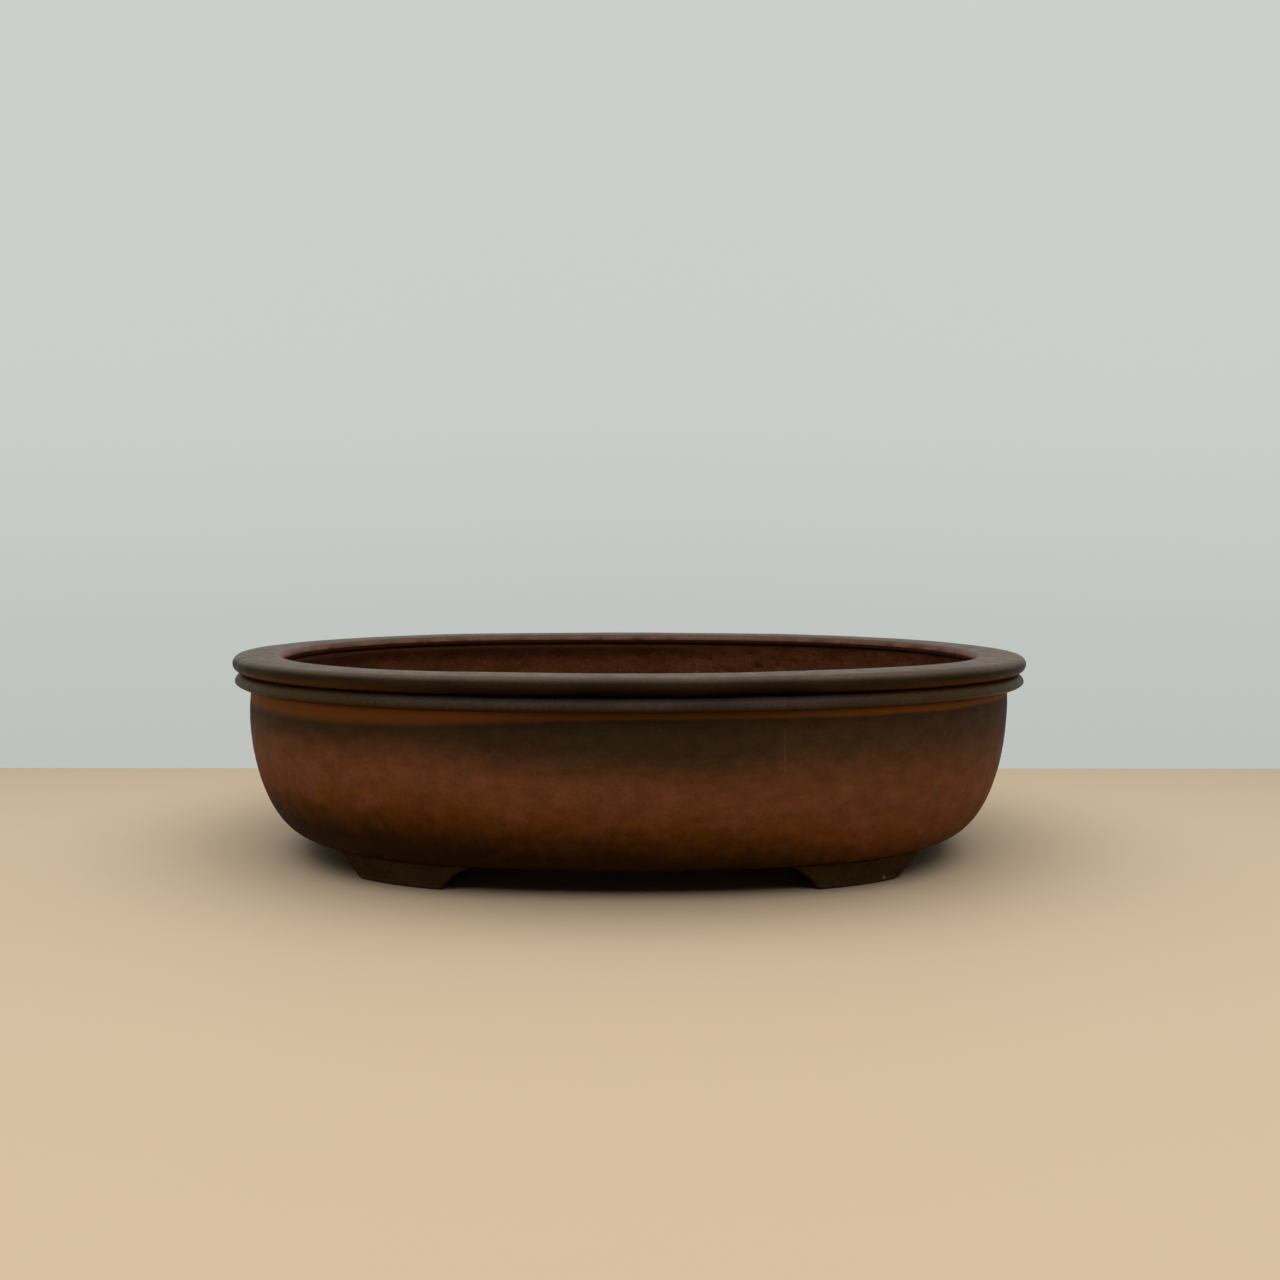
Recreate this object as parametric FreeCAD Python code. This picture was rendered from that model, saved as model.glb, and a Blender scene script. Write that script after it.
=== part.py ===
import FreeCAD, Part
import math
import os

from FreeCAD import Vector

# An unglazed oval bonsai pot, as the separate pieces that a potter lutes together and the
# fittings that cover its drain holes.
#
# The plan of every clay ring is one four-centre oval: two end arcs and two flatter side arcs that
# meet tangentially. A ring is a cross-section swept round that oval. Cross-sections are drawn in
# (inset, height): inset is measured inward from the rim's outer oval, height up from the table.
# Millimetres. Origin on the table under the pot's centre, +X along the pot, -Y the front, +Z up.

# ---- driving dimensions ----
LENGTH = 360.0  # over the rim
WIDTH = 280.0
HEIGHT = 88.6
END_RADIUS = 135.0  # end arcs of the rim's outer oval
WALL = 10.0  # clay thickness of the wall
FOOT_HEIGHT = 10.0
FLOOR_THICKNESS = 8.0

# rim lip: a thick flange on top of the wall that overhangs it on both sides
LIP_THICKNESS = 7.9
LIP_WIDTH = 21.4
LIP_NOSE_RADIUS = 3.4
LIP_CROWN = 0.3  # how far the middle of the top stands above its edges
LIP_UNDERCUT_DEG = 75.0  # how far the nose arc runs on below its widest point
LIP_INNER_RADIUS = 2.6
LIP_INNER_LOWER_RADIUS = 0.4
LIP_BEVEL_INSET = 15.0  # the wall's top rises in a bevel from here to its inner edge, under the lip
LIP_BEVEL_RISE = 3.0

# belt: a rounded band luted round the wall directly under the rim
BELT_HEIGHT = 6.0
BELT_INSET = 0.9  # its nose stands this far inside the rim's nose
BELT_NOSE_DROP = 3.5  # from the belt's top to its widest point
BELT_SHOULDER_INSET = 2.5  # a point that the belt's upper face passes through
BELT_SHOULDER_DROP = 0.75
BELT_CHIN_INSET = 2.8  # a point that its lower face passes through
BELT_CHIN_RISE = 0.65
GROOVE_INSET = 6.4  # bottom of the groove between rim and belt
GROOVE_RISE = 0.6  # how far the groove's bottom stands above the seat of the lip on the wall
BELT_SEAT = 1.0  # depth of the shallow seat it sits in

# wall: outer face as one cubic curve from under the belt to the flat underside
WALL_TOP_INSET = 8.0
WALL_BELLY_INSET = 4.9
WALL_BELLY_HEIGHT = 45.0
WALL_TURN_INSET = 15.8
WALL_TURN_HEIGHT = 12.6
UNDERSIDE_INSET = 30.0
WALL_TOP_EXTRA = 2.0  # how much thicker the wall is where it carries the rim
WALL_CORNER_RISE = 7.0  # how far above the floor the inner face starts to turn in
MITRE_SLOPE = 0.6  # inset gained per height along the joint of wall and floor

# seam coil: soft clay pressed into the inside corner of wall and floor
COIL_REACH_FLOOR = 12.0
COIL_TOP_INSET = 5.6  # from the mitre out to where the coil ends on the wall
COIL_TOP_RISE = 7.4
COIL_HOLLOW_INSET = 0.7  # from the mitre in to the middle of the coil's concave face
COIL_HOLLOW_RISE = 2.3
COIL_DEPTH = 2.0  # how far the blank it is cut from reaches below the floor's top

# feet: four blocks on the end arcs, cut to a bracket shape
FOOT_OUTER_INSET = 30.0
FOOT_WIDTH = 17.0
FOOT_SPREAD = 1.6  # the outer face leans out this much from the sole up to the body
FOOT_OUTER_DEG = 51.6  # angle of the outer end of the sole, about the end arc's centre
FOOT_INNER_DEG = 73.2
FOOT_OUTER_FLARE = 12.3  # how much longer the foot is at the body than at the sole
FOOT_INNER_FLARE = 12.5
FOOT_OUTER_ROUNDING = 3.2  # how far along its sides each lower corner is rounded
FOOT_INNER_ROUNDING = 1.8
FOOT_EDGE_RADIUS = 1.2
FOOT_SPARE_DEG = 12.0  # how far a foot's blank runs on past each end before it is cut
# the two points that pull the hollow of a foot's inner end, as shares of its flare and height
FOOT_HOLLOW_LOW = (0.3, 0.55)
FOOT_HOLLOW_HIGH = (0.55, 0.82)

# holes in the floor
DRAIN_HOLE_RADIUS = 15.0
DRAIN_HOLE_X = 72.0
WIRE_HOLE_RADIUS = 3.0
WIRE_HOLE_X = 36.0
WIRE_HOLE_Y = 57.0

# drain screen: a square of moulded plastic net
SCREEN_CELLS = 11
SCREEN_OPENING = 3.2
SCREEN_STRAND = 1.0
SCREEN_THICKNESS = 1.4

# screen clip: one bent wire with two loops on the net and two legs turned out under the floor
WIRE_DIAMETER = 1.5
CLIP_BEND_RADIUS = 1.8
CLIP_LOOP_RADIUS = 4.0
CLIP_LOOP_X = 5.2
CLIP_LOOP_LIFT = 1.75  # one strand passes this far over the other where a loop crosses itself
CLIP_LEG_CELLS = 3  # the legs pass the net this many cells from its middle
CLIP_FOOT_LENGTH = 9.0
CONTACT_GAP = 0.03  # the wire lies this far off what it bears on

CUT_SPARE = 1.0  # how far a cutting tool runs on past the clay it cuts

# ---- worked out from them ----
END_CENTRE_X = LENGTH / 2 - END_RADIUS
SIDE_RADIUS = ((WIDTH / 2) ** 2 + END_CENTRE_X**2 - END_RADIUS**2) / (WIDTH - 2 * END_RADIUS)
SIDE_CENTRE_Y = SIDE_RADIUS - WIDTH / 2
ARC_JOIN_DEG = math.degrees(math.atan2(SIDE_CENTRE_Y, END_CENTRE_X))

LIP_BOTTOM = HEIGHT - LIP_THICKNESS
BELT_BOTTOM = LIP_BOTTOM - BELT_HEIGHT
FLOOR_TOP = FOOT_HEIGHT + FLOOR_THICKNESS
MITRE_INSET = UNDERSIDE_INSET + MITRE_SLOPE * FLOOR_THICKNESS  # where wall and floor meet inside
SCREEN_PITCH = SCREEN_OPENING + SCREEN_STRAND
SCREEN_SIDE = SCREEN_CELLS * SCREEN_PITCH + SCREEN_STRAND
SCREEN_TOP = FLOOR_TOP + SCREEN_THICKNESS
UP = Vector(0, 0, 1)
ORIGIN = Vector(0, 0, 0)


# ---- tools ----
def at(inset, height):
    """A point of a cross-section, drawn in the XZ plane with inset as X."""
    return Vector(inset, 0, height)


def line(a, b):
    return Part.makeLine(a, b)


def arc(a, through, b):
    return Part.Arc(a, through, b).toShape()


def curve(*poles):
    bezier = Part.BezierCurve()
    bezier.setPoles(list(poles))
    return bezier.toShape()


def rounded_corner(before, corner, after, reach):
    """The arc that rounds a corner and touches both its sides at a distance reach from it."""
    along = (before - corner).normalize()
    beyond = (after - corner).normalize()
    half = along.getAngle(beyond) / 2
    sagitta = reach / math.cos(half) - reach * math.tan(half)
    middle = corner + (along + beyond).normalize() * sagitta
    return arc(corner + along * reach, middle, corner + beyond * reach)


def section(*edges):
    return Part.Face(Part.Wire(list(edges)))


def polar(radius, degrees, centre=ORIGIN):
    angle = math.radians(degrees)
    return centre + Vector(radius * math.cos(angle), radius * math.sin(angle), 0)


def turned(shape, degrees):
    shape = shape.copy()
    shape.rotate(ORIGIN, UP, degrees)
    return shape


def sweep_arc(face, radius, centre, start_deg, span_deg):
    """Revolves a cross-section about one arc centre of the oval; inset 0 is at the arc's radius."""
    flipped = face.copy()
    flipped.rotate(ORIGIN, UP, 180)
    flipped.translate(Vector(radius, 0, 0))
    flipped.rotate(ORIGIN, UP, start_deg)
    flipped.translate(centre)
    return flipped.revolve(centre, UP, span_deg)


def oval_ring(face):
    """A cross-section swept round the whole oval."""
    side_span = 180 - 2 * ARC_JOIN_DEG
    right = sweep_arc(face, END_RADIUS, Vector(END_CENTRE_X, 0, 0), -ARC_JOIN_DEG, 2 * ARC_JOIN_DEG)
    back = sweep_arc(face, SIDE_RADIUS, Vector(0, -SIDE_CENTRE_Y, 0), ARC_JOIN_DEG, side_span)
    ring = right.multiFuse([back, turned(right, 180), turned(back, 180)])
    return ring.removeSplitter()


def oval_wire(inset, height):
    """The oval's outline at an inset, as four arcs."""
    arcs = []
    for quarter_turn in (0, 180):
        for radius, centre, middle_deg, half_deg in (
            (END_RADIUS, Vector(END_CENTRE_X, 0, height), 0, ARC_JOIN_DEG),
            (SIDE_RADIUS, Vector(0, -SIDE_CENTRE_Y, height), 90, 90 - ARC_JOIN_DEG),
        ):
            ends = [polar(radius - inset, middle_deg + k * half_deg, centre) for k in (-1, 0, 1)]
            arcs.append(turned(arc(*ends), quarter_turn))
    return Part.Wire(Part.__sortEdges__(arcs))


def save(name, shape):
    shape.exportStep(f"parts/{name}.step")
    solids = shape.Solids
    sound = all(s.isValid() and s.isClosed() for s in solids)
    print(f"{name}: {len(solids)} solid, {shape.Volume / 1000:.1f} cm3, sound {sound}")


# ---- clay rings ----
def groove_bottom():
    """Where lip and belt meet in the groove between them."""
    return at(GROOVE_INSET, LIP_BOTTOM + GROOVE_RISE)


def belt_top():
    """The top outer corner of the wall, under the lip and behind the belt."""
    return at(WALL_TOP_INSET + BELT_SEAT, LIP_BOTTOM)


def bevel_start():
    """Where the joint of wall and lip turns from flat to its inner bevel."""
    return at(LIP_BEVEL_INSET, LIP_BOTTOM)


def bevel_end():
    """The top inner edge of the wall."""
    return at(WALL_TOP_INSET + WALL + WALL_TOP_EXTRA, LIP_BOTTOM + LIP_BEVEL_RISE)


def rim_lip():
    """The flange: crowned top, round nose, undercut towards the groove, rounded inner edge."""
    nose_height = HEIGHT - LIP_CROWN - LIP_NOSE_RADIUS
    centre = at(LIP_NOSE_RADIUS, nose_height)

    def nose(degrees):
        angle = math.radians(degrees)
        return centre + at(-LIP_NOSE_RADIUS * math.cos(angle), LIP_NOSE_RADIUS * math.sin(angle))

    top_outer = nose(90)
    undercut = nose(-LIP_UNDERCUT_DEG)
    top_corner = at(LIP_WIDTH, HEIGHT - LIP_CROWN)
    low_corner = at(LIP_WIDTH, bevel_end().z)
    inner_top = rounded_corner(low_corner, top_corner, top_outer, LIP_INNER_RADIUS)
    inner_low = rounded_corner(bevel_end(), low_corner, top_corner, LIP_INNER_LOWER_RADIUS)
    top_end = at(LIP_WIDTH - LIP_INNER_RADIUS, top_corner.z)
    return oval_ring(
        section(
            arc(top_outer, nose(90 - LIP_UNDERCUT_DEG), undercut),
            line(undercut, groove_bottom()),
            line(groove_bottom(), belt_top()),
            line(belt_top(), bevel_start()),
            line(bevel_start(), bevel_end()),
            line(bevel_end(), low_corner - at(LIP_INNER_LOWER_RADIUS, 0)),
            inner_low,
            line(low_corner + at(0, LIP_INNER_LOWER_RADIUS), top_corner - at(0, LIP_INNER_RADIUS)),
            inner_top,
            arc(top_end, at((LIP_NOSE_RADIUS + top_end.x) / 2, HEIGHT), top_outer),
        )
    )


def belt_band():
    """The belt: slopes out from the groove to its nose, turns under and meets the wall."""
    nose = at(BELT_INSET, LIP_BOTTOM - BELT_NOSE_DROP)
    shoulder = at(BELT_SHOULDER_INSET, LIP_BOTTOM - BELT_SHOULDER_DROP)
    chin = at(BELT_CHIN_INSET, BELT_BOTTOM + BELT_CHIN_RISE)
    foot = at(WALL_TOP_INSET, BELT_BOTTOM)
    seat_foot = at(belt_top().x, BELT_BOTTOM)
    return oval_ring(
        section(
            arc(groove_bottom(), shoulder, nose),
            arc(nose, chin, foot),
            line(foot, seat_foot),
            line(seat_foot, belt_top()),
            line(belt_top(), groove_bottom()),
        )
    )


def wall_inner_face():
    """The wall's inner face, from its top down to the mitre with the floor."""
    return curve(
        bevel_end(),
        at(WALL_BELLY_INSET + WALL, WALL_BELLY_HEIGHT + WALL / 2),
        at(WALL_TURN_INSET + WALL, FLOOR_TOP + WALL_CORNER_RISE),
        at(MITRE_INSET, FLOOR_TOP),
    )


def bowl_wall():
    """The oval wall, curved in at the bottom, with a mitred lower edge for the floor slab."""
    seat_foot = at(belt_top().x, BELT_BOTTOM)
    underside = at(UNDERSIDE_INSET, FOOT_HEIGHT)
    return oval_ring(
        section(
            line(bevel_end(), bevel_start()),
            line(bevel_start(), belt_top()),
            line(belt_top(), seat_foot),
            line(seat_foot, at(WALL_TOP_INSET, BELT_BOTTOM)),
            curve(
                at(WALL_TOP_INSET, BELT_BOTTOM),
                at(WALL_BELLY_INSET, WALL_BELLY_HEIGHT),
                at(WALL_TURN_INSET, WALL_TURN_HEIGHT),
                underside,
            ),
            line(underside, at(MITRE_INSET, FLOOR_TOP)),
            wall_inner_face(),
        )
    )


# ---- floor ----
def drain_centres():
    return [Vector(side * DRAIN_HOLE_X, 0, 0) for side in (-1, 1)]


def wire_centres():
    return [Vector(i * WIRE_HOLE_X, j * WIRE_HOLE_Y, 0) for i in (-1, 1) for j in (-1, 1)]


def floor_slab():
    """The flat slab, bevelled round its edge, with two drain holes and four wire holes."""
    slab = Part.makeLoft(
        [oval_wire(UNDERSIDE_INSET, FOOT_HEIGHT), oval_wire(MITRE_INSET, FLOOR_TOP)], True, True
    )
    holes = [(c, DRAIN_HOLE_RADIUS) for c in drain_centres()]
    holes += [(c, WIRE_HOLE_RADIUS) for c in wire_centres()]
    for centre, radius in holes:
        slab = slab.cut(Part.makeCylinder(radius, FLOOR_TOP + CUT_SPARE, centre, UP))
    return slab


def seam_coil(wall, floor):
    """The coil: fills the inside corner with a concave face from the wall to the floor."""
    on_floor = at(MITRE_INSET + COIL_REACH_FLOOR, FLOOR_TOP)
    on_wall = at(MITRE_INSET - COIL_TOP_INSET, FLOOR_TOP + COIL_TOP_RISE)
    hollow = at(MITRE_INSET + COIL_HOLLOW_INSET, FLOOR_TOP + COIL_HOLLOW_RISE)
    buried = at(UNDERSIDE_INSET - WALL / 2, FLOOR_TOP - COIL_DEPTH)
    blank = oval_ring(
        section(
            arc(on_floor, hollow, on_wall),
            line(on_wall, buried),
            line(buried, at(on_floor.x, buried.z)),
            line(at(on_floor.x, buried.z), on_floor),
        )
    )
    return blank.cut(wall).cut(floor)


# ---- feet ----
def foot_end_profile(flare, rounding, hollow):
    """The shape of a foot's end, from its sole at the origin out and up to where it meets the
    body: a rounded corner, then a straight slant or, if hollow, a curve steep at the sole and
    flat at the body."""
    sole = at(0, 0)
    crown = at(flare, FOOT_HEIGHT)
    low, high = (at(x * flare, z * FOOT_HEIGHT) for x, z in (FOOT_HOLLOW_LOW, FOOT_HOLLOW_HIGH))
    toward = low if hollow else crown
    turn = rounded_corner(at(-rounding, 0), sole, toward, rounding)
    leave = sole + (toward - sole).normalize() * rounding
    side = curve(leave, low, high, crown) if hollow else line(leave, crown)
    return [turn, side]


def foot_end_cutter(angle_deg, away, flare, rounding, hollow):
    """What is cut off one end of a foot: all that lies beyond its profile, pushed through the
    foot radially. away is +1 where the end faces a growing angle."""
    start = at(-rounding, 0)
    crown = at(flare, FOOT_HEIGHT)
    below = at(start.x, -CUT_SPARE)
    above = at(crown.x, FLOOR_TOP)
    far = crown.x + FLOOR_TOP
    outline = [
        *foot_end_profile(flare, rounding, hollow),
        line(crown, above),
        line(above, at(far, above.z)),
        line(at(far, above.z), at(far, below.z)),
        line(at(far, below.z), below),
        line(below, start),
    ]
    block = section(*outline).extrude(Vector(0, -2 * FOOT_WIDTH, 0))
    block.translate(Vector(0, FOOT_WIDTH, 0))
    if away < 0:
        block = block.mirror(ORIGIN, Vector(1, 0, 0))
    # +X of the outline now points along the foot: turn it onto the tangent at angle_deg
    block.rotate(ORIGIN, UP, angle_deg + 90)
    centre = Vector(END_CENTRE_X, 0, 0)
    block.translate(polar(END_RADIUS - FOOT_OUTER_INSET - FOOT_WIDTH / 2, angle_deg, centre))
    return block


def back_right_foot(wall, floor):
    """One foot: an arc of the oval, with a slanted outer end and a hollowed inner end."""
    inner = FOOT_OUTER_INSET + FOOT_WIDTH
    tall = FOOT_HEIGHT + FLOOR_THICKNESS / 2
    lean = FOOT_SPREAD * tall / FOOT_HEIGHT
    edge = FOOT_EDGE_RADIUS
    outer_sole = at(FOOT_OUTER_INSET, 0)
    inner_sole = at(inner, 0)
    outer_top = at(FOOT_OUTER_INSET - lean, tall)
    inner_top = at(inner, tall)
    face_start = outer_sole + (outer_top - outer_sole).normalize() * edge
    block = sweep_arc(
        section(
            rounded_corner(inner_sole, outer_sole, outer_top, edge),
            line(face_start, outer_top),
            line(outer_top, inner_top),
            line(inner_top, inner_sole + at(0, edge)),
            rounded_corner(inner_top, inner_sole, outer_sole, edge),
            line(inner_sole - at(edge, 0), outer_sole + at(edge, 0)),
        ),
        END_RADIUS,
        Vector(END_CENTRE_X, 0, 0),
        FOOT_OUTER_DEG - FOOT_SPARE_DEG,
        FOOT_INNER_DEG - FOOT_OUTER_DEG + 2 * FOOT_SPARE_DEG,
    )
    inner_end = foot_end_cutter(FOOT_INNER_DEG, 1, FOOT_INNER_FLARE, FOOT_INNER_ROUNDING, True)
    outer_end = foot_end_cutter(FOOT_OUTER_DEG, -1, FOOT_OUTER_FLARE, FOOT_OUTER_ROUNDING, False)
    return block.cut(inner_end).cut(outer_end).cut(wall).cut(floor)


def add_feet(wall, floor):
    """The other three feet are the first one mirrored across the pot's two middle planes."""
    across_x, across_y = Vector(1, 0, 0), Vector(0, 1, 0)
    back_right = back_right_foot(wall, floor)
    back_left = back_right.mirror(ORIGIN, across_x)
    save("back_right_foot", back_right)
    save("back_left_foot", back_left)
    save("front_right_foot", back_right.mirror(ORIGIN, across_y))
    save("front_left_foot", back_left.mirror(ORIGIN, across_y))


# ---- fittings over the drain holes ----
def rectangle(centre, side, height):
    half = side / 2
    corners = [(-half, -half), (half, -half), (half, half), (-half, half), (-half, -half)]
    return Part.makePolygon([centre + Vector(x, y, height) for x, y in corners])


def drain_screen(centre):
    """A square of net: a plate with a grid of square openings, one over the hole's centre."""
    first = -(SCREEN_CELLS - 1) / 2
    outer = rectangle(centre, SCREEN_SIDE, FLOOR_TOP)
    openings = []
    for i in range(SCREEN_CELLS):
        for j in range(SCREEN_CELLS):
            cell = centre + Vector((first + i) * SCREEN_PITCH, (first + j) * SCREEN_PITCH, 0)
            openings.append(rectangle(cell, SCREEN_OPENING, FLOOR_TOP))
    plate = Part.makeFace([outer, *openings], "Part::FaceMakerBullseye")
    return plate.extrude(Vector(0, 0, SCREEN_THICKNESS))


def clip_loop(top):
    """One turn of the wire in four cubic quarters, sinking smoothly by the height of a strand."""
    reach = 4 / 3 * math.tan(math.pi / 8)
    nodes = []
    for k in range(5):
        angle = math.radians(90 * k)
        across, along = math.sin(angle), math.cos(angle)
        sunk = CLIP_LOOP_LIFT * (k / 4 - across / (2 * math.pi))
        point = Vector(
            CLIP_LOOP_X + CLIP_LOOP_RADIUS * across, -CLIP_LOOP_RADIUS * (1 - along), top - sunk
        )
        handle = Vector(along, -across, 0) * (CLIP_LOOP_RADIUS * reach)
        handle.z = -CLIP_LOOP_LIFT * (1 - along) / 12
        nodes.append((point, handle))
    return [curve(p, p + h, q - g, q) for (p, h), (q, g) in zip(nodes, nodes[1:])]


def clip_half_path():
    """The wire's axis from the clip's middle out to the end of one leg."""
    low = SCREEN_TOP + WIRE_DIAMETER / 2 + CONTACT_GAP
    high = low + CLIP_LOOP_LIFT
    under = FOOT_HEIGHT - WIRE_DIAMETER / 2 - CONTACT_GAP
    leg = CLIP_LEG_CELLS * SCREEN_PITCH
    bend = CLIP_BEND_RADIUS
    cut = bend * (1 - math.sqrt(0.5))
    return [
        line(at(0, high), at(CLIP_LOOP_X, high)),
        *clip_loop(high),
        line(at(CLIP_LOOP_X, low), at(leg - bend, low)),
        arc(at(leg - bend, low), at(leg - cut, low - cut), at(leg, low - bend)),
        line(at(leg, low - bend), at(leg, under + bend)),
        arc(at(leg, under + bend), at(leg + cut, under + cut), at(leg + bend, under)),
        line(at(leg + bend, under), at(leg + CLIP_FOOT_LENGTH, under)),
    ]


def screen_clip():
    """The bent wire, over the origin: a loop and a leg on each side of its middle."""
    path = Part.Wire(clip_half_path())
    start = path.OrderedVertexes[0].Point
    ring = Part.Wire(Part.makeCircle(WIRE_DIAMETER / 2, start, Vector(1, 0, 0)))
    half = path.makePipeShell([ring], True, True)
    return half.fuse(turned(half, 180)).removeSplitter()


def add_fittings():
    """One screen and one clip over each drain hole. The right clip mirrors the left one."""
    left, right = drain_centres()
    save("left_drain_screen", drain_screen(left))
    save("right_drain_screen", drain_screen(right))
    clip = screen_clip()
    save("left_screen_clip", clip.translated(left))
    save("right_screen_clip", clip.mirror(ORIGIN, Vector(1, 0, 0)).translated(right))


def main():
    os.makedirs("parts", exist_ok=True)
    wall = bowl_wall()
    floor = floor_slab()
    save("bowl_wall", wall)
    save("floor_slab", floor)
    save("seam_coil", seam_coil(wall, floor))
    save("rim_lip", rim_lip())
    save("belt_band", belt_band())
    add_feet(wall, floor)
    add_fittings()


main()
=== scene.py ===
import math

import bmesh
import bpy
import numpy as np
from mathutils import Matrix, Vector


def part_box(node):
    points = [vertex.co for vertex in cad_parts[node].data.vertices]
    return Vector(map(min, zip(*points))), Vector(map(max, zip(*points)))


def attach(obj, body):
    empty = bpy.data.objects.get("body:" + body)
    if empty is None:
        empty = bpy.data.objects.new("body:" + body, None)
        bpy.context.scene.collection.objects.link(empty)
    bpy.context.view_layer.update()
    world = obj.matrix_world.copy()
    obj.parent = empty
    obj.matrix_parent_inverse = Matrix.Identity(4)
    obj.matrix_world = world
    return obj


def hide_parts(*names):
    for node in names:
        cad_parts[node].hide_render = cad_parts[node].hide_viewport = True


# Lengths in this script are millimetres until a mesh is made, except that the lamp and the camera
# are placed in metres. Cross-sections are drawn as (inset from the rim's outer oval, height above
# the table), as in the part's source.

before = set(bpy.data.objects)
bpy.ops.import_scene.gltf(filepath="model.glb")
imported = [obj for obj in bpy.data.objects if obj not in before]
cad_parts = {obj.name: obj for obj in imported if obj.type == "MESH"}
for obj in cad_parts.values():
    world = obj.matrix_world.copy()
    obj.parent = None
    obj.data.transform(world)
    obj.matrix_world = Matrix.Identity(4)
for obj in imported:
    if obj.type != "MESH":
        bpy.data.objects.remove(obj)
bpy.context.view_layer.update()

MM = 0.001
HALF_LENGTH = 180.0
HALF_WIDTH = 140.0
END_RADIUS = 135.0
END_CENTRE = HALF_LENGTH - END_RADIUS
FLANK_RADIUS = (HALF_WIDTH**2 + END_CENTRE**2 - END_RADIUS**2) / (2 * (HALF_WIDTH - END_RADIUS))
FLANK_CENTRE = FLANK_RADIUS - HALF_WIDTH
LIFT = 0.8  # how far the fired rim's front right quarter stands high
LEAN = 0.5  # how far the bowl leans to the left below the belt
LEAN_FADE = (55, 80)  # heights over which the lean dies away


def height_of(node, corner):
    """The lowest (0) or highest (1) height of a CAD node, in millimetres."""
    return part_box(node)[corner].z / MM


LIP_BOTTOM = height_of("rim_lip", 0)
LIP_TOP = height_of("rim_lip", 1)
BELT_BOTTOM = height_of("belt_band", 0)
FLOOR_BOTTOM = height_of("floor_slab", 0)
FLOOR_TOP = height_of("floor_slab", 1)
COIL_TOP = height_of("seam_coil", 1)
FOOT_TOP = height_of("front_left_foot", 1)

LIP_WIDTH = 21.4
LIP_CROWN = 0.3
LIP_INNER_RADIUS = 2.6
LIP_INNER_LOWER_RADIUS = 0.4
NOSE_RADIUS = 3.4
NOSE_RUN_ON_DEG = 75
GROOVE_INSET = 6.4
GROOVE_RISE = 0.6
BELT_SEAT = 1.0
BELT_FOOT_RISE = 0.6
BELT_NOSE = np.array((0.9, LIP_BOTTOM - 3.5))
# how far each end of the belt's two curves runs on before it bends
GROOVE_PULL = (-2.9, -0.1)
NOSE_PULL_UP = (0, 1.9)
NOSE_PULL_DOWN = (0, -1.4)
FOOT_PULL = (-3.8, 0.05)
WALL_TOP_INSET = 8.0
WALL_THICKNESS = 10.0
WALL_TOP_EXTRA = 2.0
BEVEL_START = (15.0, LIP_BOTTOM)
BEVEL_END = (WALL_TOP_INSET + WALL_THICKNESS + WALL_TOP_EXTRA, LIP_BOTTOM + 3.0)
WALL_BELLY = np.array((4.9, 45.0))
WALL_TURN = np.array((15.8, 12.6))
WALL_CORNER_RISE = 7.0
UNDERSIDE_INSET = 30.0
MITRE_SLOPE = 0.6
MITRE_INSET = UNDERSIDE_INSET + MITRE_SLOPE * (FLOOR_TOP - FLOOR_BOTTOM)
COIL_REACH_FLOOR = 12.0
COIL_TOP_INSET = 5.6
# where the coil's hollow curve heads from the wall and from the floor, and the corners of its
# buried back, all measured from the mitre's corner
COIL_WALL_PULL = (-2.5, 3.2)
COIL_FLOOR_PULL = (3.5, 0.7)
COIL_IN_FLOOR = (1, -1)
COIL_IN_WALL = (-3.4, 3)

WIRE_RADIUS = 0.75
CLIP_LOOP_X = 5.2
CLIP_LOOP_RADIUS = 4.0
CLIP_LOOP_LIFT = 1.75
CLIP_LEG_X = 12.6
CLIP_BEND_RADIUS = 1.8
CLIP_FOOT_LENGTH = 9.0

# stations round the oval of each swept ring
WALL_STATIONS = 750
RIM_STATIONS = 1000  # the rim's and the belt's
COIL_STATIONS = 800

# widths of the voxels that the copied CAD shapes are meshed with
FOOT_CELL = 0.45
FLOOR_CELL = 1.2
NET_CELL = 0.32

# colours, as shares of the red, green and blue light that they give back
NEAR_BLACK = (0.012, 0.006, 0.002)
FOOT_BROWN = (0.03, 0.0115, 0.001)
BURNT_BROWN = (0.15, 0.048, 0.006)
RED_BROWN = (0.19, 0.068, 0.026)
PINK_BROWN = (0.20, 0.068, 0.040)
MOSS_BROWN = (0.10, 0.048, 0.012)
OLIVE_BROWN = (0.048, 0.028, 0.014)
OLIVE_LIGHT = (0.068, 0.039, 0.020)
ORANGE = (0.24, 0.085, 0.02)
PALE_GROG = (0.30, 0.20, 0.12)
RIM_FLASHED = (0.11, 0.048, 0.003)
# painted shade on the rim's inner face
RIM_FACE_SHADE = (0.055, 0.018, 0.004)
BELT_FLASHED = (0.066, 0.042, 0.016)
BELT_UPPER = (0.15, 0.062, 0.006)
# the belt's orange-brown underside, darkened by painted shade
BELT_UNDER_AND_SHADE = (0.045, 0.017, 0.001)
INNER_GROG = (0.30, 0.16, 0.09)
# painted shade under the rim, on the inner wall
UNDER_RIM_SHADE = (0.03, 0.008, 0.001)
FOOT_WORN = (0.16, 0.09, 0.05)
NET_BLACK = (0.012, 0.013, 0.012)
NET_DUST = (0.09, 0.07, 0.05)
RIM_WORN_EDGE = (0.13, 0.072, 0.052)
# the worn edge's reddish colour lightened by painted light, for its lower part
RIM_WORN_PAINTED_LIGHT = (0.30, 0.14, 0.10)
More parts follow.
